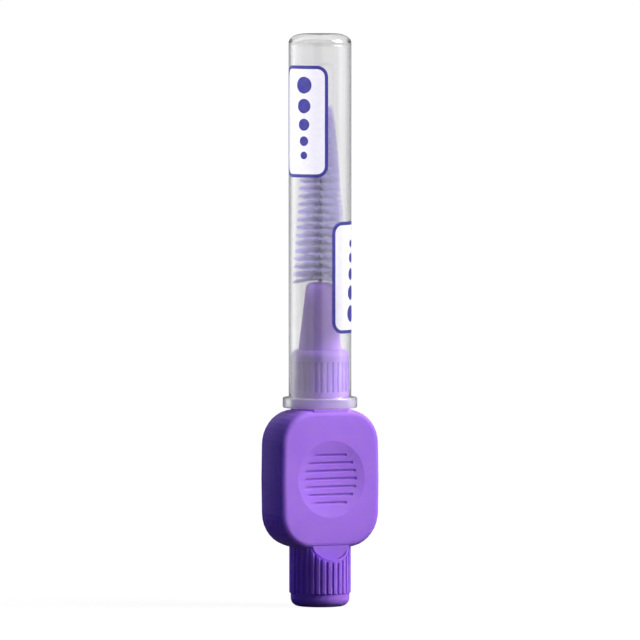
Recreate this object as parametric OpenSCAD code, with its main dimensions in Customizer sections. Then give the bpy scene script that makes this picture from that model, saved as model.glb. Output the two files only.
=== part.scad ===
// Interdental brush with a clear push-on cap, in millimetres.
// It stands on the end of its rear plug, with +Z along the axis towards the brush tip.
// The front of the paddle looks along -Y, and its width lies along X.

/* [Paddle] */
// Width of the paddle at its parting line
paddle_w = 13.05; // [11.6:0.05:15]
// Height of the paddle along the axis
paddle_h = 15.86; // [14:0.02:20]
// Thickness between the two flat faces
paddle_t = 5.25; // [4.2:0.05:5.6]
// Radius of the corners, seen from the front
paddle_corner_r = 4.05; // [3:0.05:5]
// How far the two long edges bow out between the corners
paddle_side_bow = 0.04; // [0.02:0.01:0.4]
// How far the top and bottom edges bow out between the corners
paddle_end_bow = 0.03; // [0.02:0.01:0.2]
// How far the edge wall bulges at the parting line
paddle_wall_bulge = 0.14; // [0.05:0.01:0.3]
// Rounding between the edge wall and each flat face
paddle_edge_r = 0.6; // [0.3:0.05:0.9]

/* [Thumb dimples] */
// Radius of the shallow dimple in each flat face
dimple_r = 4.35; // [3.6:0.05:4.8]
// Depth of each dimple at its middle
dimple_depth = 0.45; // [0.25:0.05:0.7]
// Grip grooves across the front dimple
grip_count = 7; // [3:2:9]
// Spacing of the grip grooves along the axis
grip_pitch = 0.9; // [0.7:0.05:0.95]
// Width of each grip groove
grip_w = 0.3; // [0.2:0.05:0.45]
// Depth of each grip groove below the dimple's surface
grip_depth = 0.16; // [0.08:0.02:0.3]
// Clear rim between the grip grooves and the edge of the dimple
grip_rim = 0.95; // [0.6:0.05:1.2]

/* [Plugs] */
// Radius of the rear plug over its ribs, which grip the cap when it is pushed on there
rear_plug_r = 3.48; // [3.4:0.01:3.6]
// Radius of the smooth lead-in below those ribs
rear_lead_r = 3.32; // [3.1:0.01:3.36]
// Length of the rear plug below the paddle
rear_plug_l = 6.54; // [5.5:0.02:9]
// Rounding of the rear plug's end
rear_plug_round = 0.95; // [0.3:0.05:1.1]
// Smooth length between the rear end and the ribs
rear_smooth_l = 1.58; // [1.4:0.02:2.2]
// Length of the front plug above the paddle
front_plug_l = 6.6; // [5.5:0.02:9]
// Rounding of the front plug's shoulder
front_plug_round = 0.8; // [0.3:0.05:0.85]
// Smooth length between the paddle and the front ribs
front_foot_l = 1.9; // [1.6:0.05:2.4]
// Smooth length between the front ribs and the shoulder
front_head_l = 1.3; // [1:0.05:1.8]
// Grooves round each plug, which leave a rib between each pair
groove_count = 32; // [20:1:36]
// Width of each groove
groove_w = 0.37; // [0.24:0.01:0.4]
// Depth of each groove
groove_depth = 0.15; // [0.06:0.01:0.18]

/* [Half-moons] */
// Radius of each half-moon, seen from the front
moon_r = 2.6; // [2.3:0.05:2.7]
// How far the centre of each half-moon lies inside the paddle
moon_inset = 1.4; // [0.8:0.05:1.6]
// How far each half-moon lies below the paddle's flat face
moon_step = 0.12; // [0.02:0.01:0.2]
// Width of the sunk band between the rear half-moon and the ends of the ribs
moon_margin = 0.28; // [0.15:0.01:0.6]

/* [Neck] */
// Length of the tapered neck above the front plug
neck_l = 7.6; // [6.4:0.1:10]
// Radius of the neck where it leaves the front plug
neck_root_r = 2.44; // [2.1:0.02:2.5]
// Radius of the neck where its rounded tip begins
neck_tip_r = 1.62; // [1.3:0.02:1.9]
// Rounding of the neck's tip
neck_round = 0.8; // [0.4:0.05:1]

/* [Twisted wire] */
// Radius of one wire leg with its coating
leg_r = 0.11; // [0.08:0.01:0.14]
// Clearance between a wire leg and the filaments it grips
grip_gap = 0.012; // [0.01:0.002:0.02]
// Clearance round the wire in the neck's bore
root_gap = 0.02; // [0.01:0.01:0.05]
// Length along the axis of one full turn of the twist
lay = 1.74; // [1.4:0.02:2.4]
// Depth of the wire's root in the neck
root_l = 5.8; // [4:0.1:6.2]
// Bare twist between the neck and the lowest filaments
foot_gap = 0.2; // [0.1:0.05:1]
// Bare twist above the highest filaments, below the tip loop
tip_bare = 0.1; // [0.05:0.05:0.6]

/* [Bristles] */
// Length of the bristle head along the axis
head_l = 19.4; // [14:0.2:22]
// Gap between the longest filaments and the cap's bore
head_gap = 0.2; // [0.12:0.01:0.6]
// Radius of the bristle head at its tip
head_tip_r = 1.47; // [1:0.01:2.4]
// Thickness of one filament where the wire grips it
filament_t = 0.06; // [0.04:0.01:0.07]
// Thickness of one filament at its free end
filament_tip_t = 0.04; // [0.02:0.01:0.06]
// Spacing of the filaments along the axis
filament_pitch = 0.105; // [0.09:0.005:0.2]
// How far the longest filaments droop at their ends
filament_droop = 0.3; // [0:0.05:0.5]

/* [Cap] */
// Outer radius of the cap's tube
cap_r = 3.54; // [3.4:0.01:4]
// Wall of the cap's tube
cap_wall = 0.2; // [0.18:0.01:0.4]
// Running gap all round between the front plug and the cap's bore
cap_fit = 0.03; // [0.01:0.01:0.08]
// Length of the cap from its mouth to its closed end
cap_l = 42.2; // [38.6:0.02:50]
// Radius of the flange round the mouth
flange_r = 4.22; // [4.05:0.01:4.8]
// Height of the flange
flange_h = 1.18; // [0.8:0.02:2]
// Rounding of the flange's outer edges
flange_round = 0.16; // [0.05:0.01:0.25]
// Thickness of the closed end
cap_end_wall = 0.4; // [0.25:0.05:0.8]
// Height of the rounded shoulder at the closed end
cap_shoulder_h = 1.05; // [0.5:0.05:1.5]
// Width of the rounded shoulder at the closed end
cap_shoulder_w = 1.75; // [0.8:0.05:2.4]
// Gap between the cap's mouth and the paddle's top edge
mouth_gap = 0.04; // [0.02:0.01:0.1]

/* [Hidden] */

// How far a cutting solid runs past the surface that it cuts
overrun = 1;
// Thickness of the slices that the paddle is wrapped round
slice_t = 0.01;
// How far the cut for a half-moon's flat runs past the half-moon
moon_lip = 0.02;
// Half the width of the strip of filament roots between the wire legs
strip_half_w = 0.09;

// Heights of the main stations along the axis
paddle_z0 = rear_plug_l;
paddle_mid_z = paddle_z0 + paddle_h / 2;
paddle_z1 = paddle_z0 + paddle_h;
shoulder_z = paddle_z1 + front_plug_l;
neck_z1 = shoulder_z + neck_l;
wire_z0 = neck_z1 - root_l;
head_z0 = neck_z1 + foot_gap;
head_z1 = head_z0 + head_l;
wire_z1 = head_z1 + tip_bare;
mouth_z = paddle_z1 + mouth_gap;
cap_z1 = mouth_z + cap_l;

// The front plug and the bristle head take their size from the cap's bore
bore_r = cap_r - cap_wall;
front_plug_r = bore_r - cap_fit;
head_base_r = bore_r - head_gap;

// Centre-line radius of each wire leg, and the radius of the twisted pair
// A leg runs straight from ring to ring, so its rings stand out a little further.
rings_per_turn = 8;
twist_r = (leg_r + filament_t / 2 + grip_gap) / cos(180 / rings_per_turn);
pair_r = twist_r + leg_r;

// The bristle head's outline rises from the tip to the base with this power
taper_share = 0.75;
// The paddle's wall bulge and edge rounding are stepped at these shares
bulge_shares = [0.5, 1];
edge_shares = [0, 0.25, 0.5, 0.75, 1];
// Steps over the tip loop of the wire, and sides of a leg
loop_rings = 6;
leg_sides = 6;
// Facets of the large and the small curves, and steps of an arc in an outline
$fn = 96;
small_fn = 24;
arc_steps = 10;

// Radius of the circle whose arc rises by bow over half a chord
function arc_r(half_chord, bow) = (half_chord * half_chord + bow * bow) / (2 * bow);

// Points of an ellipse from an angle above its widest point up to its top
function shoulder_arc(centre, half_w, half_h, from = 0) =
    [for (i = [0 : arc_steps])
        let (a = from + (90 - from) * i / arc_steps)
        [centre[0] + half_w * cos(a), centre[1] + half_h * sin(a)]];

// Paddle: a plate with bowed edges, a bulged wall and rounded rims

module paddle_outline(inset) {
    core_w = paddle_w - 2 * paddle_corner_r;
    core_h = paddle_h - 2 * paddle_corner_r;
    side_r = arc_r(core_h / 2, paddle_side_bow);
    end_r = arc_r(core_w / 2, paddle_end_bow);
    offset(r = paddle_corner_r - inset, $fn = 36)
        intersection() {
            translate([core_w / 2 - side_r, 0]) circle(side_r, $fn = 180);
            translate([side_r - core_w / 2, 0]) circle(side_r, $fn = 180);
            translate([0, core_h / 2 - end_r]) circle(end_r, $fn = 180);
            translate([0, end_r - core_h / 2]) circle(end_r, $fn = 180);
        }
}

// One slice of the paddle on both sides, whose outer faces lie at y and -y
module paddle_slices(y, inset) {
    for (side = [-1, 1])
        translate([0, side * (y - slice_t / 2), paddle_mid_z])
            rotate([90, 0, 0])
                linear_extrude(slice_t, center = true)
                    paddle_outline(inset);
}

module paddle_blank() {
    wall_y = paddle_t / 2 - paddle_edge_r;
    hull() {
        paddle_slices(slice_t, 0);
        for (share = bulge_shares)
            paddle_slices(wall_y * share, paddle_wall_bulge * share * share);
        for (share = edge_shares)
            paddle_slices(
                wall_y + paddle_edge_r * sin(90 * share),
                paddle_wall_bulge + paddle_edge_r * (1 - cos(90 * share))
            );
    }
}

// Dimples: a spherical hollow, and grip grooves whose floor follows it

dimple_ball_r = arc_r(dimple_r, dimple_depth);

module dimple_ball(deeper) {
    translate([0, -paddle_t / 2 + dimple_depth - dimple_ball_r, paddle_mid_z])
        sphere(dimple_ball_r + deeper, $fn = 180);
}

// A bar with round ends along X that cuts back from the front
module grip_bar(half_l) {
    rotate([90, 0, 0]) {
        translate([-half_l, -grip_w / 2, 0]) cube([2 * half_l, grip_w, paddle_t]);
        for (side = [-1, 1])
            translate([side * half_l, 0, 0]) cylinder(h = paddle_t, r = grip_w / 2, $fn = small_fn);
    }
}

module grip_grooves() {
    reach = dimple_r - grip_rim;
    last = (grip_count - 1) / 2;
    intersection() {
        dimple_ball(grip_depth);
        for (i = [-last : last])
            translate([0, 0, paddle_mid_z + i * grip_pitch])
                grip_bar(sqrt(reach * reach - pow(i * grip_pitch, 2)) - grip_w / 2);
    }
}

// Half-moons: each plug runs on to the paddle's face in a round flat

rear_moon_z = paddle_z0 + moon_inset;
front_moon_z = paddle_z1 - moon_inset;

// A disc along Y on both sides of the paddle, outside the planes at y and -y
module moon_discs(z, r, y) {
    for (turn = [0, 180])
        rotate(turn)
            translate([0, -y, z])
                rotate([90, 0, 0])
                    cylinder(h = paddle_t, r = r);
}

module moon_cut(z) {
    moon_discs(z, moon_r, paddle_t / 2 - moon_step);
}

// The rear half-moon stands out at its two ends, where the sunk band falls away
module rear_moon() {
    intersection() {
        cylinder(h = rear_moon_z, r = rear_plug_r);
        translate([0, 0, rear_moon_z])
            rotate([90, 0, 0])
                cylinder(h = paddle_t, r = moon_r - moon_lip, center = true);
    }
}

// Grooves along a plug, with round floors
module plug_grooves(plug_r, z0, z1) {
    cut_r = arc_r(groove_w / 2, groove_depth);
    for (i = [0 : groove_count - 1])
        rotate(360 * (i + 0.5) / groove_count)
            translate([plug_r - groove_depth + cut_r, 0, z0])
                cylinder(h = z1 - z0, r = cut_r, $fn = small_fn);
}

// The smooth core of the rear plug, which shows as its lead-in and round each half-moon
module plug_core() {
    lead = rear_lead_r;
    e = rear_plug_round;
    rotate_extrude() {
        square([lead - e, rear_moon_z]);
        translate([0, e]) square([lead, rear_moon_z - e]);
        translate([lead - e, e]) circle(e, $fn = small_fn * 2);
    }
}

// The ribs round that core. They end below in a chamfer, which the grooves run out of,
// and above at the band round each half-moon.
module rear_ribs() {
    r = rear_plug_r;
    inner = rear_lead_r - (r - rear_lead_r);
    difference() {
        rotate_extrude()
            polygon([
                [inner, rear_smooth_l - (r - inner)], [r, rear_smooth_l],
                [r, rear_moon_z], [inner, rear_moon_z]
            ]);
        plug_grooves(r, rear_smooth_l / 2, rear_moon_z + overrun);
        moon_discs(rear_moon_z, moon_r + moon_margin, 0);
    }
}

module rear_plug() {
    difference() {
        union() {
            plug_core();
            rear_ribs();
            rear_moon();
        }
        moon_cut(rear_moon_z);
    }
}

module front_plug() {
    r = front_plug_r;
    e = front_plug_round;
    difference() {
        rotate_extrude() {
            translate([0, front_moon_z]) square([r, shoulder_z - e - front_moon_z]);
            translate([0, front_moon_z]) square([r - e, shoulder_z - front_moon_z]);
            translate([r - e, shoulder_z - e]) circle(e, $fn = small_fn * 2);
        }
        plug_grooves(r, paddle_z1 + front_foot_l, shoulder_z - front_head_l);
        moon_cut(front_moon_z);
    }
}

// Neck: a cone with a rounded tip that is tangent to it
module neck() {
    slope = atan((neck_root_r - neck_tip_r) / (neck_l - neck_round));
    round_x = neck_tip_r - neck_round * cos(slope);
    round_z = neck_z1 - neck_round;
    rotate_extrude()
        polygon(concat(
            [
                [0, shoulder_z - front_plug_round],
                [neck_root_r, shoulder_z - front_plug_round],
                [neck_root_r, shoulder_z]
            ],
            shoulder_arc([round_x, round_z], neck_round, neck_round, slope),
            [[0, neck_z1]]
        ));
}

// Handle: one moulding of paddle, two plugs and neck, with a bore for the wire's root
module handle() {
    color("mediumpurple")
        difference() {
            union() {
                paddle_blank();
                rear_plug();
                front_plug();
                neck();
            }
            for (turn = [0, 180])
                rotate(turn) dimple_ball(0);
            grip_grooves();
            translate([0, 0, wire_z0])
                cylinder(h = root_l + overrun, r = pair_r + root_gap, $fn = small_fn * 2);
        }
}

// Twist: the strip of filaments lies at this angle, and the legs a quarter turn from it.
// The pair is twisted left-handed.
function lay_angle(z) = -360 * (z - head_z0) / lay;

// Two triangles of a four-sided face, clockwise from outside
function quad(a, b, c, d) = [[a, b, c], [a, c, d]];

function unit(v) = v / norm(v);

// Wire: one leg goes up from the root, over the tip loop and down the other side

leg_z0 = wire_z0 + 2 * leg_r;
leg_rings = ceil(rings_per_turn * (wire_z1 - leg_z0) / lay);
function leg_z(i) = leg_z0 + (wire_z1 - leg_z0) * i / leg_rings;
function leg_out(z, side) =
    let (a = lay_angle(z) + 90 * side)
    [cos(a), sin(a), 0];
loop_out = leg_out(wire_z1, 1);

// Outward direction at each ring of the path
wire_out = concat(
    [leg_out(leg_z0, 1)],
    [for (i = [0 : leg_rings]) leg_out(leg_z(i), 1)],
    [for (i = [1 : loop_rings - 1])
        let (a = 180 * i / loop_rings)
        loop_out * cos(a) + [0, 0, sin(a)]],
    [for (i = [leg_rings : -1 : 0]) leg_out(leg_z(i), -1)],
    [leg_out(leg_z0, -1)]
);
// Height of the axis point that each ring stands out from
wire_axis_z = concat(
    [wire_z0],
    [for (i = [0 : leg_rings]) leg_z(i)],
    [for (i = [1 : loop_rings - 1]) wire_z1],
    [for (i = [leg_rings : -1 : 0]) leg_z(i)],
    [wire_z0]
);
wire_path = [for (i = [0 : len(wire_out) - 1])
    [0, 0, wire_axis_z[i]] + wire_out[i] * twist_r];
wire_last = len(wire_path) - 1;

// Direction of travel at each ring, upright at both ends of the wire
function wire_along(i) =
    i == 0 ? [0, 0, 1]
    : i == wire_last ? [0, 0, -1]
    : unit(wire_path[i + 1] - wire_path[i - 1]);

function leg_ring(i) =
    let (
        t = wire_along(i),
        out = unit(wire_out[i] - t * (wire_out[i] * t)),
        across = cross(t, out)
    )
    [for (k = [0 : leg_sides - 1])
        let (a = 360 * k / leg_sides)
        wire_path[i] + leg_r * (out * cos(a) + across * sin(a))];

module wire() {
    n = leg_sides;
    points = [for (i = [0 : wire_last], p = leg_ring(i)) p];
    walls = [for (i = [0 : wire_last - 1], k = [0 : n - 1])
        let (low = i * n, high = low + n, next = (k + 1) % n)
        each quad(low + k, high + k, high + next, low + next)];
    root_end = [for (k = [1 : n - 2]) [0, k, k + 1]];
    other = wire_last * n;
    other_end = [for (k = [1 : n - 2]) [other, other + k + 1, other + k]];
    color("dimgray")
        polyhedron(points, concat(walls, root_end, other_end), convexity = 10);
}

// Least gap between the two legs of the twist, measured between their rings
leg_gap = min([for (i = [1 : leg_rings], j = [1 : leg_rings])
    norm(wire_path[i] - wire_path[wire_last - j])]) - 2 * leg_r;
echo(least_gap_between_wire_legs = leg_gap);

// Bristles: filaments stand out both ways from a twisted strip of their own roots

filament_levels = floor((head_l - filament_t) / filament_pitch) + 1;
echo(filaments = 2 * filament_levels);

// Radius of the bristle head at a height
function head_r(z) =
    head_tip_r + (head_base_r - head_tip_r) * pow((head_z1 - z) / head_l, taper_share);

// Four corners of the strip at a height, anticlockwise from above
function strip_ring(z) =
    let (
        a = lay_angle(z),
        along = strip_half_w * [cos(a), sin(a), 0],
        across = filament_t / 2 * [-sin(a), cos(a), 0],
        mid = [0, 0, z]
    )
    [mid + along + across, mid - along + across, mid - along - across, mid + along - across];

// Four corners of a filament's free end, clockwise from outside
function filament_tip(z, side) =
    let (
        a = lay_angle(z),
        r = head_r(z),
        across = filament_tip_t / 2 * side * [-sin(a), cos(a), 0],
        up = [0, 0, filament_tip_t / 2],
        droop = filament_droop * pow(r / head_base_r, 2),
        mid = [side * r * cos(a), side * r * sin(a), z - droop]
    )
    [mid - across - up, mid - across + up, mid + across + up, mid + across - up];

// Sides and end of a filament on a four-sided base
function filament_faces(base, tip) =
    [for (j = [0 : 3])
        let (next = (j + 1) % 4)
        each quad(base[j], base[next], tip + next, tip + j)];

// Points of a four-sided ring. A level has two rings of the strip and two filament ends.
ring_points = 4;
level_points = 4 * ring_points;

module bristles() {
    levels = filament_levels;
    points = [for (i = [0 : levels - 1])
        let (z = head_z0 + i * filament_pitch)
        each concat(
            strip_ring(z),
            strip_ring(z + filament_t),
            filament_tip(z + filament_t / 2, 1),
            filament_tip(z + filament_t / 2, -1)
        )];
    level_faces = [for (i = [0 : levels - 1])
        let (
            low = i * level_points,
            high = low + ring_points,
            tip_a = high + ring_points,
            tip_b = tip_a + ring_points
        )
        each concat(
            quad(low, high, high + 1, low + 1),
            quad(low + 2, high + 2, high + 3, low + 3),
            filament_faces([low + 3, high + 3, high, low], tip_a),
            quad(tip_a, tip_a + 1, tip_a + 2, tip_a + 3),
            filament_faces([low + 1, high + 1, high + 2, low + 2], tip_b),
            quad(tip_b, tip_b + 1, tip_b + 2, tip_b + 3)
        )];
    strip_faces = [for (i = [0 : levels - 2], k = [0 : ring_points - 1])
        let (
            low = i * level_points + ring_points,
            high = (i + 1) * level_points,
            next = (k + 1) % ring_points
        )
        each quad(low + k, high + k, high + next, low + next)];
    top = (levels - 1) * level_points + ring_points;
    color("lavender")
        polyhedron(
            points,
            concat(level_faces, strip_faces, quad(0, 1, 2, 3), quad(top + 3, top + 2, top + 1, top)),
            convexity = 10
        );
}

// Cap: a thin tube with a flange at its mouth and a closed, rounded end

// Half section of a round-shouldered plug, from z0 up to z1
module round_end_section(r, z0, z1, shoulder_w, shoulder_h) {
    polygon(concat(
        [[0, z0], [r, z0]],
        shoulder_arc([r - shoulder_w, z1 - shoulder_h], shoulder_w, shoulder_h),
        [[0, z1]]
    ));
}

module flange_section() {
    e = flange_round;
    translate([0, mouth_z + e]) square([flange_r, flange_h - 2 * e]);
    translate([0, mouth_z]) square([flange_r - e, flange_h]);
    for (z = [mouth_z + e, mouth_z + flange_h - e])
        translate([flange_r - e, z]) circle(e, $fn = small_fn);
}

module cap() {
    color([0.9, 0.92, 0.95, 0.4])
        difference() {
            rotate_extrude() {
                round_end_section(cap_r, mouth_z, cap_z1, cap_shoulder_w, cap_shoulder_h);
                flange_section();
            }
            rotate_extrude()
                round_end_section(
                    bore_r,
                    mouth_z - overrun,
                    cap_z1 - cap_end_wall,
                    cap_shoulder_w,
                    cap_shoulder_h
                );
        }
}

handle();
wire();
bristles();
cap();
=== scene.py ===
import math
import random

import bmesh
import bpy
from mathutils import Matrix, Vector


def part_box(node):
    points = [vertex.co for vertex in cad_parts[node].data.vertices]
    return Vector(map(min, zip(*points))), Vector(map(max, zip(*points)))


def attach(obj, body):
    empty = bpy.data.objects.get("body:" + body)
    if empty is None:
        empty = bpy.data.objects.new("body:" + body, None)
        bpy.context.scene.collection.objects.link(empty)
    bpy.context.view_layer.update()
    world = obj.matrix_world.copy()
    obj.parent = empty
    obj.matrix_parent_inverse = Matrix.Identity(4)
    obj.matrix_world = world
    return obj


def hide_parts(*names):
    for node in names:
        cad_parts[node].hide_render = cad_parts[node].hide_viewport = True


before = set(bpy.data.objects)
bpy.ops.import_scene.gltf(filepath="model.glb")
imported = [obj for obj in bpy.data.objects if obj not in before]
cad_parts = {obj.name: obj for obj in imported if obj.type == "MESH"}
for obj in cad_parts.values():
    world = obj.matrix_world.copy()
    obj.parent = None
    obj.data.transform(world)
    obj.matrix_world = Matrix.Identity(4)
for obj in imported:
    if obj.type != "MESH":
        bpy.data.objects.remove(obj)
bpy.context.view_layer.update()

MM = 0.001

# View of the photograph, in degrees and in millimetres of lens and sensor
AZIMUTH = -30
ELEVATION = 2.8
LENS = 600
SENSOR = 36
FRAME_W = 72.2 * MM
MIDDLE = Vector((0, 0, 32.32 * MM))
CLIP_NEAR, CLIP_FAR = 0.01, 20

# Cap, with its ends and its widest radius from the frame. A name that ends in SHARP
# is the angle in degrees over which an edge of a piece is sharp.
CAP_LOW, CAP_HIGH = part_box("cap")
MOUTH_Z = CAP_LOW.z
CAP_Z1 = CAP_HIGH.z
CAP_R = 3.54 * MM
BORE_R = 3.34 * MM
BORE_LIP = 0.05 * MM
END_WALL = 0.4 * MM
END_FLAT_R = 0.9 * MM
SHOULDER_W = 1.75 * MM
SHOULDER_H = 1.05 * MM
SHOULDER_STEPS = 18
FLANGE_R = CAP_HIGH.x
FLANGE_H = 1.18 * MM
FLANGE_ROUND = 0.16 * MM
FLANGE_RIM = 0.3 * MM
FLANGE_FOOT = 0.08 * MM
FLANGE_STEPS = 6
FOOT_STEPS = 5
WALL_RINGS = [z * MM for z in (27, 31, 36, 41, 46, 51, 56)]
OUTER_TOP_RING = 60 * MM
INNER_TOP_RING = 59 * MM
LATHE_STEPS = 160
CAP_SHARP = 35

# Twisted wire: its lay, the radius of one leg and that of the twist's midline
LAY = 1.74 * MM
LEG_R = 0.11 * MM
TWIST_R = 0.152 * MM
WIRE_Z0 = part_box("wire")[0].z
WIRE_INSET = 0.2 * MM
WIRE_Z1 = 56.3 * MM
WIRE_SIDES = 12
WIRE_SHARP = 60
RINGS_PER_LAY = 34
LOOP_STEPS = 8

# Bristle head
HEAD_Z0 = 36.8 * MM
HEAD_Z1 = 56.2 * MM
HEAD_MARGIN = 0.03 * MM
HEAD_BASE_R = 3.14 * MM
HEAD_TIP_R = 1.47 * MM
HEAD_POWER = 0.75
FILAMENTS = 3200
FILAMENT_T = 0.068 * MM
FILAMENT_ROOT_R = 0.03 * MM
FILAMENT_DROOP = 0.34 * MM
FILAMENT_TAPER = 0.25
FILAMENT_SECTIONS = 4
FILAMENT_SIDES = 4
FILAMENT_SHARP = 80
SEED = 7

# Scatter of the filaments: everywhere, and what the loose side adds to it
TURN_SCATTER = (math.radians(5), math.radians(20))
BEND_SCATTER = (math.radians(3), math.radians(6))
LIFT_SCATTER = (0.04 * MM, 0.26 * MM)
LENGTH_RANGE = (0.965, 1.0)
DROOP_RANGE = (0.85, 1.1)

# Printed panels: size, and the directions of their edges from the view, in degrees
PANEL_HALF_H = 6.3 * MM
PANEL_HALF_ANGLE = 49
PANEL_CORNER = 1.3 * MM
PANEL_BORDER = 0.38 * MM
UPPER_PANEL_Z = 54.8 * MM
UPPER_PANEL_RIGHT = 15
LOWER_PANEL_Z = 37.2 * MM
LOWER_PANEL_LEFT = 23
PANEL_R = CAP_R + 0.004 * MM
DOTS_R = CAP_R + 0.014 * MM
DOTS_X = 0.2 * MM

# Heights and radii of the dots
DOTS_MM = ((4.1, 0.95), (1.75, 0.82), (-0.35, 0.68), (-2.2, 0.55), (-3.8, 0.43))

# Printed layer: thickness, and the width in degrees of the strips that bend it
PRINT_T = 0.012 * MM
PRINT_STRIP = 4
PRINT_SHARP = 30
CORNER_STEPS = 8
DOT_STEPS = 32

# Noise values between which its colours and roughness change, and its detail
NOISE_LOW, NOISE_HIGH = 0.3, 0.7
NOISE_DETAIL = 2

# Brightness of the room in reflections, by the direction in degrees
ROOM = (
    (-180, 0.2),
    (-166, 0.2),
    (-157, 1.2),
    (-142, 1.6),
    (-130, 1.25),
    (-119, 0.9),
    (-109, 0.8),
    (-91, 0.58),
    (-74, 0.42),
    (-60, 0.48),
    (-47, 0.0),
    (-28, 0.0),
    (-19, 0.5),
    (-8, 0.62),
    (23, 0.65),
    (36, 0.8),
    (53, 1.5),
    (70, 0.9),
    (82, 0.5),
    (95, 0.2),
    (180, 0.2),
)
ROOM_PEAK = 1.6

# Its ceiling, by how far up a direction points
CEILING_LOW, CEILING_HIGH = 0.05, 0.35
CEILING_LEVEL = 0.7

# Radius of a spotlight's bulb
BULB_R = 2 * MM

# Distances within which points are one, or lie on a cut
MERGE_REACH = 1e-7
CUT_REACH = 1e-8

# Floor, and the distances over which it turns to plain white and to the room
FLOOR_REACH = 6.0
FLOOR_DROP = 0.02 * MM
FLOOR_GREY = 0.08
NEAR = 0.1
WHITE_FAR = 0.5
ROOM_FAR = 0.3
NEAR_WHITE = 0.95

# White that is left for rays from a matt surface, and the dim violet of the world
MATT_SHARE = 0.14
DIM_ROOM = (0.025, 0.015, 0.14)


def srgb(code):
    """Linear colour of a hex code, by the sRGB formula."""
    parts = [int(code[i : i + 2], 16) / 255 for i in (0, 2, 4)]
    linear = [c / 12.92 if c <= 0.04045 else ((c + 0.055) / 1.055) ** 2.4 for c in parts]
    return (*linear, 1)


def grey(level):
    return (level, level, level, 1)


def toward(azimuth, elevation):
    """Unit vector from the object towards a lamp or camera, in degrees."""
    a, e = math.radians(azimuth), math.radians(elevation)
    return Vector((math.sin(a) * math.cos(e), -math.cos(a) * math.cos(e), math.sin(e)))


# Shader nodes


def new_material(name):
    mat = bpy.data.materials.new(name)
    mat.use_nodes = True
    tree = mat.node_tree
    return mat, tree, tree.nodes["Principled BSDF"]


def set_sockets(target, values):
    for socket, value in values.items():
        target.inputs[socket].default_value = value


def node(tree, kind, sockets=None, **settings):
    """A new node with values on its sockets and settings of its own."""
    made = tree.nodes.new(kind)
    for key, value in settings.items():
        setattr(made, key, value)
    set_sockets(made, sockets or {})
    return made


def to_surface(tree, shader):
    tree.links.new(shader, tree.nodes["Material Output"].inputs["Surface"])


def maths(tree, operation, first, second):
    """A Math node over a socket and another socket or a number."""
    made = node(tree, "ShaderNodeMath", operation=operation)
    tree.links.new(first, made.inputs[0])
    if isinstance(second, (int, float)):
        made.inputs[1].default_value = second
    else:
        tree.links.new(second, made.inputs[1])
    return made.outputs[0]


def remap(tree, value, from_low, from_high, to_low, to_high):
    """A value mapped from one range to another and held within it."""
    made = node(
        tree,
        "ShaderNodeMapRange",
        {
            "From Min": from_low,
            "From Max": from_high,
            "To Min": to_low,
            "To Max": to_high,
        },
    )
    tree.links.new(value, made.inputs["Value"])
    return made.outputs["Result"]


def ramp(tree, factor, stops):
    """Colours at positions along a factor."""
    made = node(tree, "ShaderNodeValToRGB")
    elements = made.color_ramp.elements
    elements[0].position, elements[0].color = stops[0]
    elements[1].position, elements[1].color = stops[-1]
    for position, colour in stops[1:-1]:
        elements.new(position).color = colour
    tree.links.new(factor, made.inputs["Fac"])
    return made.outputs["Color"]


def noise(tree, scale, stretch=(1, 1, 1)):
    """A noise over the piece's own coordinates, in metres."""
    coords = node(tree, "ShaderNodeTexCoord")
    mapping = node(tree, "ShaderNodeMapping", {"Scale": stretch})
    texture = node(tree, "ShaderNodeTexNoise", {"Scale": scale, "Detail": NOISE_DETAIL})
    tree.links.new(coords.outputs["Object"], mapping.inputs["Vector"])
    tree.links.new(mapping.outputs["Vector"], texture.inputs["Vector"])
    return texture.outputs["Fac"]


def tint(tree, shader, pattern, dark, light):
    """Two close colours over a noise."""
    colour = ramp(tree, pattern, [(NOISE_LOW, srgb(dark)), (NOISE_HIGH, srgb(light))])
    tree.links.new(colour, shader.inputs["Base Color"])


def roughen(tree, shader, pattern, low, high):
    """A range of roughness over a noise."""
    level = remap(tree, pattern, NOISE_LOW, NOISE_HIGH, low, high)
    tree.links.new(level, shader.inputs["Roughness"])


def bump(tree, shader, height, strength, distance):
    made = node(tree, "ShaderNodeBump", {"Strength": strength, "Distance": distance})
    tree.links.new(height, made.inputs["Height"])
    tree.links.new(made.outputs["Normal"], shader.inputs["Normal"])


def pass_lamps(tree, shader, share):
    """Lets a share of the lamps' light straight through a thin clear layer."""
    path = node(tree, "ShaderNodeLightPath")
    passed = node(tree, "ShaderNodeBsdfTransparent", {"Color": grey(share)})
    mixed = node(tree, "ShaderNodeMixShader")
    tree.links.new(path.outputs["Is Shadow Ray"], mixed.inputs["Fac"])
    tree.links.new(shader.outputs["BSDF"], mixed.inputs[1])
    tree.links.new(passed.outputs["BSDF"], mixed.inputs[2])
    to_surface(tree, mixed.outputs["Shader"])


# Materials of the brush


def violet_plastic():
    mat, tree, shader = new_material("violet_polypropylene")
    tint(tree, shader, noise(tree, scale=260), dark="a172dd", light="a778e0")
    grain = noise(tree, scale=5200)
    roughen(tree, shader, grain, low=0.34, high=0.42)
    bump(tree, shader, grain, strength=0.25, distance=0.006 * MM)
    set_sockets(
        shader,
        {
            "Subsurface Weight": 0.55,
            "Subsurface Radius": (0.3, 0.14, 1.0),
            "Subsurface Scale": 1.1 * MM,
            "IOR": 1.49,
            "Specular IOR Level": 0.1,
        },
    )
    return mat


def coated_wire():
    mat, tree, shader = new_material("coated_wire")
    streaks = noise(tree, scale=9000)
    tint(tree, shader, streaks, dark="67648c", light="8683aa")
    roughen(tree, shader, streaks, low=0.3, high=0.42)
    set_sockets(shader, {"Metallic": 0.4})
    return mat


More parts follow.
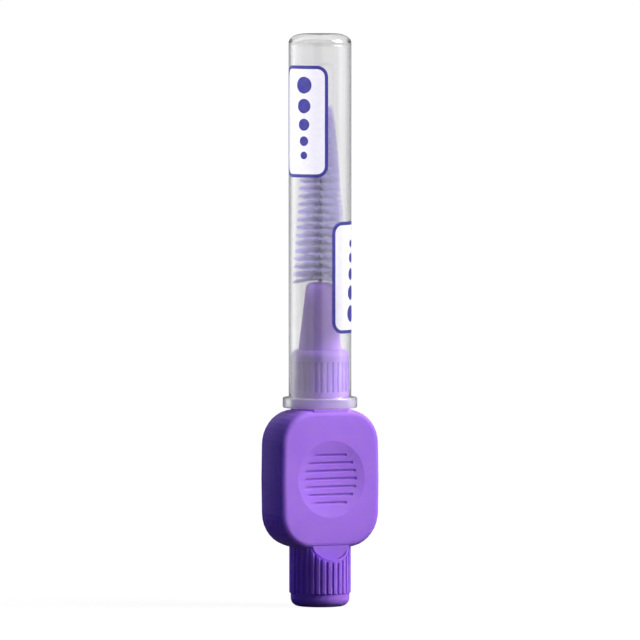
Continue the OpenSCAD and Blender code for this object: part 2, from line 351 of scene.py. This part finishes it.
def nylon():
    mat, tree, shader = new_material("filament_nylon")
    mottle = noise(tree, scale=2600)
    tint(tree, shader, mottle, dark="9f97d2", light="b4ace3")
    roughen(tree, shader, mottle, low=0.36, high=0.46)
    set_sockets(
        shader,
        {
            "Subsurface Weight": 0.5,
            "Subsurface Radius": (0.7, 0.6, 1.0),
            "Subsurface Scale": 0.2 * MM,
        },
    )
    pass_lamps(tree, shader, share=0.5)
    return mat


# Materials of the cap


def clear_plastic(name, shades, rough, transmission, lamp_share, ior=1.55):
    """Clear moulded plastic, whose shades go from facing the eye to edge-on."""
    mat, tree, shader = new_material(name)
    edge = node(tree, "ShaderNodeLayerWeight", {"Blend": 0.5})
    stops = [(at, grey(level)) for at, level in shades]
    colour = ramp(tree, edge.outputs["Facing"], stops)
    tree.links.new(colour, shader.inputs["Base Color"])
    haze = noise(tree, scale=420, stretch=(1, 1, 0.25))
    roughen(tree, shader, haze, *rough)
    set_sockets(
        shader,
        {
            "Transmission Weight": transmission,
            "IOR": ior,
            "Coat Weight": 1,
            "Coat IOR": 1.65,
            "Coat Roughness": 0.04,
        },
    )
    pass_lamps(tree, shader, lamp_share)
    return mat


def wall_plastic():
    """The thin wall, greyer where it is seen edge-on."""
    return clear_plastic(
        "clear_moulded_plastic",
        shades=[(0.0, 0.845), (0.45, 0.86), (0.64, 0.73), (0.8, 0.6), (1.0, 0.5)],
        rough=(0.03, 0.06),
        transmission=0.97,
        lamp_share=0.78,
    )


def end_plastic():
    """The closed end, which bends light less than the wall does."""
    return clear_plastic(
        "clear_end_plastic",
        shades=[(0.0, 0.8), (0.6, 0.76), (1.0, 0.54)],
        rough=(0.03, 0.06),
        transmission=0.97,
        lamp_share=0.78,
        ior=1.3,
    )


def hazy_plastic():
    """The same plastic where it is thick, which scatters light a little."""
    mat = clear_plastic(
        "hazy_moulded_plastic",
        shades=[(0.0, 0.86), (0.6, 0.8), (1.0, 0.5)],
        rough=(0.08, 0.14),
        transmission=0.66,
        lamp_share=0.97,
    )
    set_sockets(
        mat.node_tree.nodes["Principled BSDF"],
        {
            "Subsurface Weight": 1,
            "Subsurface Radius": (1, 1, 1),
            "Subsurface Scale": 6 * MM,
        },
    )
    return mat


def print_ink(name, dark, light):
    """Thin ink that lets most lamp light through to what is in the tube."""
    mat, tree, shader = new_material(name)
    mottle = noise(tree, scale=1800)
    tint(tree, shader, mottle, dark, light)
    roughen(tree, shader, mottle, low=0.3, high=0.38)
    pass_lamps(tree, shader, share=0.75)
    return mat


# Light that the floor and the world share


def direct_ray(tree, path):
    """1 for rays from the camera or out of clear parts, less off a matt surface."""
    straight = maths(
        tree,
        "MAXIMUM",
        path.outputs["Is Camera Ray"],
        path.outputs["Is Transmission Ray"],
    )
    fresh = remap(tree, path.outputs["Diffuse Depth"], 0, 1, 1, MATT_SHARE)
    return maths(tree, "MULTIPLY", straight, fresh)


def room_level(tree, direction):
    """Brightness of the room by the direction round the object, with a ceiling."""
    parts = node(tree, "ShaderNodeSeparateXYZ")
    tree.links.new(direction, parts.inputs[0])
    forward = maths(tree, "MULTIPLY", parts.outputs["Y"], -1)
    turn = maths(tree, "ARCTAN2", parts.outputs["X"], forward)
    share = remap(tree, turn, -math.pi, math.pi, 0, 1)
    stops = [
        ((azimuth + 180) / 360, grey(level / ROOM_PEAK)) for azimuth, level in ROOM
    ]
    walls = maths(tree, "MULTIPLY", ramp(tree, share, stops), ROOM_PEAK)
    height = parts.outputs["Z"]
    ceiling = remap(tree, height, CEILING_LOW, CEILING_HIGH, 0, CEILING_LEVEL)
    return maths(tree, "MAXIMUM", walls, ceiling)


def far_share(tree, far, low):
    """low near the object, rising to 1 at a distance."""
    coords = node(tree, "ShaderNodeTexCoord")
    length = node(tree, "ShaderNodeVectorMath", operation="LENGTH")
    tree.links.new(coords.outputs["Object"], length.inputs[0])
    return remap(tree, length.outputs["Value"], NEAR, far, low, 1)


def pale_floor():
    """A floor that the camera sees as white, under the object's shadow.

    Reflections see it dark beside the object and as the room farther off."""
    mat, tree, shader = new_material("pale_floor")
    set_sockets(
        shader,
        {"Base Color": grey(FLOOR_GREY), "Roughness": 0.9, "Specular IOR Level": 0},
    )
    path = node(tree, "ShaderNodeLightPath")
    white = maths(
        tree, "MULTIPLY", direct_ray(tree, path), far_share(tree, WHITE_FAR, NEAR_WHITE)
    )
    coords = node(tree, "ShaderNodeTexCoord")
    room = room_level(tree, coords.outputs["Object"])
    far_room = maths(tree, "MULTIPLY", room, far_share(tree, ROOM_FAR, 0))
    mirrored = maths(tree, "MULTIPLY", path.outputs["Is Glossy Ray"], far_room)
    glow = node(tree, "ShaderNodeEmission")
    tree.links.new(maths(tree, "MAXIMUM", white, mirrored), glow.inputs["Strength"])
    both = node(tree, "ShaderNodeAddShader")
    tree.links.new(shader.outputs["BSDF"], both.inputs[0])
    tree.links.new(glow.outputs["Emission"], both.inputs[1])
    to_surface(tree, both.outputs["Shader"])
    return mat


# Geometry helpers


def add_object(name, data):
    obj = bpy.data.objects.new(name, data)
    bpy.context.scene.collection.objects.link(obj)
    return obj


def mesh_object(name, points, faces, materials, sharp=None):
    """A piece, smooth but for edges over sharp degrees, or flat without it."""
    mesh = bpy.data.meshes.new(name)
    mesh.from_pydata(points, [], faces)
    mesh.validate()
    for mat in materials:
        mesh.materials.append(mat)
    if sharp is not None:
        mesh.shade_smooth()
        mesh.set_sharp_from_angle(angle=math.radians(sharp))
    return add_object(name, mesh)


def lathe(name, profile, materials):
    """Turns a closed profile about Z. A profile point with no radius is a pole."""
    points, rings, faces = [], [], []
    for r, z in profile:
        start = len(points)
        if r == 0:
            points.append((0, 0, z))
            rings.append([start] * LATHE_STEPS)
            continue
        for k in range(LATHE_STEPS):
            a = 2 * math.pi * k / LATHE_STEPS
            points.append((r * math.cos(a), r * math.sin(a), z))
        rings.append(list(range(start, start + LATHE_STEPS)))
    for low, high in zip(rings, rings[1:] + rings[:1]):
        for k in range(LATHE_STEPS):
            n = (k + 1) % LATHE_STEPS
            corners = list(dict.fromkeys((low[k], low[n], high[n], high[k])))
            if len(corners) > 2:
                faces.append(corners)
    obj = mesh_object(name, points, faces, materials, CAP_SHARP)
    weighted = obj.modifiers.new("weighted_normals", "WEIGHTED_NORMAL")
    weighted.keep_sharp = True
    return obj


def arc(centre_r, centre_z, half_r, half_z, start, end, steps):
    """Points of an ellipse's arc in a profile, in degrees."""
    made = []
    for i in range(steps + 1):
        a = math.radians(start + (end - start) * i / steps)
        made.append((centre_r + half_r * math.cos(a), centre_z + half_z * math.sin(a)))
    return made


def tube(points, radii, sides):
    """Rings and faces of a closed tube along points, with parallel-carried frames."""
    verts, faces = [], []
    along = [
        (points[min(i + 1, len(points) - 1)] - points[max(i - 1, 0)]).normalized()
        for i in range(len(points))
    ]
    side = along[0].orthogonal().normalized()
    for i, (p, r) in enumerate(zip(points, radii)):
        side = (side - along[i] * side.dot(along[i])).normalized()
        across = along[i].cross(side)
        for k in range(sides):
            a = 2 * math.pi * k / sides
            verts.append(p + r * (side * math.cos(a) + across * math.sin(a)))
    for i in range(len(points) - 1):
        for k in range(sides):
            n = (k + 1) % sides
            low, high = i * sides, (i + 1) * sides
            faces.append((low + k, low + n, high + n, high + k))
    last = (len(points) - 1) * sides
    faces.append(tuple(range(sides - 1, -1, -1)))
    faces.append(tuple(range(last, last + sides)))
    return verts, faces


# Handle, which keeps its CAD mesh


def paint_handle():
    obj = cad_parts["handle"]
    obj.data.materials.clear()
    obj.data.materials.append(violet_plastic())


# Wire and bristles


def lay_angle(z):
    """Direction of the filaments at a height. The twist is left-handed."""
    return -2 * math.pi * (z - HEAD_Z0) / LAY


def wire_leg(side):
    """One leg of the twist, from just inside the CAD wire's root up to the tip."""
    steps = round(RINGS_PER_LAY * (WIRE_Z1 - WIRE_Z0) / LAY)
    root = WIRE_Z0 + WIRE_INSET
    made = []
    for i in range(steps + 1):
        z = root + (WIRE_Z1 - root) * i / steps
        a = lay_angle(z) + side * math.pi / 2
        made.append(Vector((TWIST_R * math.cos(a), TWIST_R * math.sin(a), z)))
    return made


def make_wire():
    """One wire: up from the root, over the tip and down as the other leg."""
    up, down = wire_leg(1), wire_leg(-1)
    tip = Vector((0, 0, WIRE_Z1))
    out = up[-1] - tip
    loop = []
    for i in range(1, LOOP_STEPS):
        a = math.pi * i / LOOP_STEPS
        loop.append(tip + out * math.cos(a) + Vector((0, 0, TWIST_R)) * math.sin(a))
    path = up + loop + down[::-1]
    verts, faces = tube(path, [LEG_R] * len(path), WIRE_SIDES)
    obj = mesh_object("twisted_wire", verts, faces, [coated_wire()], WIRE_SHARP)
    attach(obj, "brush")
    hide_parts("wire")


def head_radius(z):
    share = max(0.0, (HEAD_Z1 - z) / (HEAD_Z1 - HEAD_Z0))
    return HEAD_TIP_R + (HEAD_BASE_R - HEAD_TIP_R) * share**HEAD_POWER


def scatter(rng, spread, loose):
    everywhere, added = spread
    return rng.gauss(0, everywhere + added * loose)


def filament(rng, z, side):
    """Points and radii of one drooping, tapered filament.

    The head is looser on the right of the photograph, whose direction about Z is
    the camera's azimuth."""
    a0 = lay_angle(z) + side
    loose = max(0, math.cos(a0 - math.radians(AZIMUTH)))
    a0 += scatter(rng, TURN_SCATTER, loose)
    length = head_radius(z) * rng.uniform(*LENGTH_RANGE)
    bend = scatter(rng, BEND_SCATTER, loose)
    droop = FILAMENT_DROOP * (length / HEAD_BASE_R) ** 2 * rng.uniform(*DROOP_RANGE)
    lift = scatter(rng, LIFT_SCATTER, loose)
    points, radii = [], []
    for k in range(FILAMENT_SECTIONS + 1):
        t = k / FILAMENT_SECTIONS
        r = FILAMENT_ROOT_R + (length - FILAMENT_ROOT_R) * t
        a = a0 + bend * t
        height = z + (lift - droop * t) * t
        points.append(Vector((r * math.cos(a), r * math.sin(a), height)))
        radii.append(FILAMENT_T / 2 * (1 - FILAMENT_TAPER * t**3))
    return points, radii


def make_bristles():
    """Filaments that leave the twist both ways, in step with its lay."""
    rng = random.Random(SEED)
    verts, faces = [], []
    first = HEAD_Z0 + HEAD_MARGIN
    span = HEAD_Z1 - HEAD_Z0 - 2 * HEAD_MARGIN
    for i in range(FILAMENTS):
        z = first + span * (i + 0.5) / FILAMENTS
        for side in (0, math.pi):
            v, f = tube(*filament(rng, z, side), FILAMENT_SIDES)
            faces += [tuple(n + len(verts) for n in face) for face in f]
            verts += v
    obj = mesh_object("bristle_head", verts, faces, [nylon()], FILAMENT_SHARP)
    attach(obj, "brush")
    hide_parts("bristles")


# Cap and its printed panels


def cap_profile(flange_top, inner_z):
    """Closed outline of the cap's wall: flange, outside, closed end, inside."""
    e, foot = FLANGE_ROUND, FLANGE_FOOT
    shoulder = (SHOULDER_W, SHOULDER_H)
    profile = [(BORE_R + BORE_LIP, MOUTH_Z), (FLANGE_R - e - FLANGE_RIM, MOUTH_Z)]
    profile += arc(FLANGE_R - e, MOUTH_Z + e, e, e, -90, 0, FLANGE_STEPS)
    profile += arc(FLANGE_R - e, flange_top - e, e, e, 0, 90, FLANGE_STEPS)
    profile += arc(CAP_R + foot, flange_top + foot, foot, foot, -90, -180, FOOT_STEPS)
    profile += [(CAP_R, z) for z in [*WALL_RINGS, OUTER_TOP_RING]]
    profile += arc(
        CAP_R - SHOULDER_W, CAP_Z1 - SHOULDER_H, *shoulder, 0, 90, SHOULDER_STEPS
    )
    profile += [(END_FLAT_R, CAP_Z1), (0, CAP_Z1), (0, inner_z), (END_FLAT_R, inner_z)]
    profile += arc(
        BORE_R - SHOULDER_W, inner_z - SHOULDER_H, *shoulder, 90, 0, SHOULDER_STEPS
    )
    profile += [(BORE_R, z) for z in [INNER_TOP_RING, *reversed(WALL_RINGS)]]
    profile += [(BORE_R, MOUTH_Z + BORE_LIP)]
    return profile


def make_cap():
    """Thin clear tube with a rounded closed end and a flange round its mouth."""
    flange_top = MOUTH_Z + FLANGE_H
    inner_z = CAP_Z1 - END_WALL
    obj = lathe(
        "cap_shell",
        cap_profile(flange_top, inner_z),
        [wall_plastic(), hazy_plastic(), end_plastic()],
    )
    for face in obj.data.polygons:
        at = face.center
        if at.z < flange_top and math.hypot(at.x, at.y) > BORE_R + BORE_LIP / 2:
            face.material_index = 1
        if at.z > inner_z - SHOULDER_H:
            face.material_index = 2
    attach(obj, "cap_body")
    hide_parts("cap")


def rounded_outline(half_w, half_h, r):
    """Corner points of a rounded rectangle about the origin, anticlockwise."""
    made = []
    for cx, cy, start in ((1, 1, 0), (-1, 1, 90), (-1, -1, 180), (1, -1, 270)):
        for i in range(CORNER_STEPS + 1):
            a = math.radians(start + 90 * i / CORNER_STEPS)
            x = cx * (half_w - r) + r * math.cos(a)
            y = cy * (half_h - r) + r * math.sin(a)
            made.append((x, y))
    return made


def disc_outline(x, y, r):
    turns = [2 * math.pi * i / DOT_STEPS for i in range(DOT_STEPS)]
    return [(x + r * math.cos(a), y + r * math.sin(a)) for a in turns]


def cut_in_strips(bm, step):
    """Cuts a flat mesh across X, evenly about the origin, so that it can bend."""
    reach = max(abs(v.co.x) for v in bm.verts)
    lines = int(reach / step) + 1
    for i in range(-lines, lines + 1):
        bmesh.ops.bisect_plane(
            bm,
            geom=bm.verts[:] + bm.edges[:] + bm.faces[:],
            plane_co=((i + 0.5) * step, 0, 0),
            plane_no=(1, 0, 0),
            dist=CUT_REACH,
        )


def wrapped(name, outlines, materials, azimuth, z_mid, radius):
    """Flat outlines wrapped on the tube as one thin printed layer.

    outlines holds (outer, inner or None, material index) in metres across and along
    the tube. azimuth is the direction that the middle of the layer looks in."""
    bm = bmesh.new()
    for outer, inner, index in outlines:
        ring = [bm.verts.new((x, y, 0)) for x, y in outer]
        if inner is None:
            bm.faces.new(ring).material_index = index
            continue
        hole = [bm.verts.new((x, y, 0)) for x, y in inner]
        for i in range(len(ring)):
            n = (i + 1) % len(ring)
            bm.faces.new((ring[i], ring[n], hole[n], hole[i])).material_index = index
    bmesh.ops.remove_doubles(bm, verts=bm.verts, dist=MERGE_REACH)
    cut_in_strips(bm, math.radians(PRINT_STRIP) * radius)
    for v in bm.verts:
        a = math.radians(azimuth) + v.co.x / radius
        v.co = Vector((radius * math.sin(a), -radius * math.cos(a), z_mid + v.co.y))
    mesh = bpy.data.meshes.new(name)
    bm.to_mesh(mesh)
    bm.free()
    for mat in materials:
        mesh.materials.append(mat)
    mesh.shade_smooth()
    obj = add_object(name, mesh)
    solid = obj.modifiers.new("thickness", "SOLIDIFY")
    solid.thickness = PRINT_T
    solid.offset = 1
    split = obj.modifiers.new("crisp_rim", "EDGE_SPLIT")
    split.split_angle = math.radians(PRINT_SHARP)
    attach(obj, "cap_body")


def make_panels():
    """Two printed panels with a plain border and a row of graded dots."""
    white = print_ink("panel_white", dark="f9f7fd", light="fffdff")
    ink = print_ink("panel_ink", dark="38358f", light="45429c")
    half_w = math.radians(PANEL_HALF_ANGLE) * CAP_R
    outer = rounded_outline(half_w, PANEL_HALF_H, PANEL_CORNER)
    inner = rounded_outline(
        half_w - PANEL_BORDER, PANEL_HALF_H - PANEL_BORDER, PANEL_CORNER - PANEL_BORDER
    )
    panel = [(outer, inner, 1), (inner, None, 0)]
    upper_azimuth = AZIMUTH + UPPER_PANEL_RIGHT - PANEL_HALF_ANGLE
    lower_azimuth = AZIMUTH + LOWER_PANEL_LEFT + PANEL_HALF_ANGLE
    for name, azimuth, z_mid, flip in (
        ("printed_panel_upper", upper_azimuth, UPPER_PANEL_Z, 1),
        ("printed_panel_lower", lower_azimuth, LOWER_PANEL_Z, -1),
    ):
        dots = [
            (disc_outline(DOTS_X, flip * y * MM, r * MM), None, 0) for y, r in DOTS_MM
        ]
        wrapped(name, panel, [white, ink], azimuth, z_mid, PANEL_R)
        wrapped(name + "_dots", dots, [ink], azimuth, z_mid, DOTS_R)


# Stage


def make_stage():
    s = FLOOR_REACH
    floor = mesh_object(
        "floor",
        [(-s, -s, 0), (s, -s, 0), (s, s, 0), (-s, s, 0)],
        [(0, 1, 2, 3)],
        [pale_floor()],
    )
    floor.location.z = -FLOOR_DROP


def aim(obj, target, out, distance):
    """Puts a lamp or camera out from a target and turns it to look there."""
    obj.location = target + out * distance
    obj.rotation_mode = "QUATERNION"
    obj.rotation_quaternion = out.to_track_quat("Z", "Y")


def softbox(
    name, azimuth, elevation, distance, size, power, colour=(1, 1, 1), seen=True
):
    """A rectangular lamp. Reflections and clear parts show it only where seen."""
    data = bpy.data.lights.new(name, "AREA")
    data.shape = "RECTANGLE"
    data.size, data.size_y = size
    data.energy = power
    data.color = colour
    lamp = add_object(name, data)
    lamp.visible_glossy = seen
    lamp.visible_transmission = seen
    aim(lamp, MIDDLE, toward(azimuth, elevation), distance)


def spotlight(name, azimuth, elevation, distance, height, angle, blend, power):
    """A small round beam on the part of the object about a height."""
    data = bpy.data.lights.new(name, "SPOT")
    data.spot_size = math.radians(angle)
    data.spot_blend = blend
    data.shadow_soft_size = BULB_R
    data.energy = power
    target = Vector((0, 0, height))
    aim(add_object(name, data), target, toward(azimuth, elevation), distance)


def make_lights():
    softbox(
        "key", azimuth=50, elevation=34, distance=0.9, size=(0.5, 0.5), power=11.8
    )
    softbox(
        "right_strip",
        azimuth=55,
        elevation=2,
        distance=0.7,
        size=(0.1, 0.9),
        power=0.4,
        seen=False,
    )
    softbox(
        "left_rim",
        azimuth=-178,
        elevation=3,
        distance=0.8,
        size=(0.16, 0.9),
        power=3.6,
        seen=False,
    )
    softbox(
        "left_fill",
        azimuth=-130,
        elevation=10,
        distance=0.9,
        size=(0.4, 0.5),
        power=0.68,
        colour=(0.15, 0.08, 1.0),
        seen=False,
    )
    spotlight(
        "left_beam",
        azimuth=-80,
        elevation=22,
        distance=0.7,
        height=74.6 * MM,
        angle=5.9,
        blend=0.1,
        power=22,
    )
    spotlight(
        "front_beam",
        azimuth=14,
        elevation=16,
        distance=0.7,
        height=16.5 * MM,
        angle=1.9,
        blend=0.5,
        power=4.2,
    )


def make_world():
    """White to the eye and through clear parts, the room in reflections, and dim
    violet to all other rays."""
    world = bpy.data.worlds.new("studio")
    bpy.context.scene.world = world
    world.use_nodes = True
    tree = world.node_tree
    path = node(tree, "ShaderNodeLightPath")
    coords = node(tree, "ShaderNodeTexCoord")
    room = room_level(tree, coords.outputs["Generated"])
    mirrored = maths(tree, "MULTIPLY", path.outputs["Is Glossy Ray"], room)
    seen = maths(tree, "MAXIMUM", direct_ray(tree, path), mirrored)
    glow = node(tree, "ShaderNodeVectorMath", {1: DIM_ROOM}, operation="MAXIMUM")
    tree.links.new(seen, glow.inputs[0])
    tree.links.new(glow.outputs[0], tree.nodes["Background"].inputs["Color"])


def make_camera():
    data = bpy.data.cameras.new("camera")
    data.lens = LENS
    data.sensor_width = SENSOR
    data.clip_start = CLIP_NEAR
    data.clip_end = CLIP_FAR
    cam = add_object("camera", data)
    aim(cam, MIDDLE, toward(AZIMUTH, ELEVATION), FRAME_W * LENS / SENSOR)
    bpy.context.scene.camera = cam


bpy.context.scene.view_settings.view_transform = "Standard"
make_camera()
make_world()
make_stage()
make_lights()
paint_handle()
make_wire()
make_bristles()
make_cap()
make_panels()
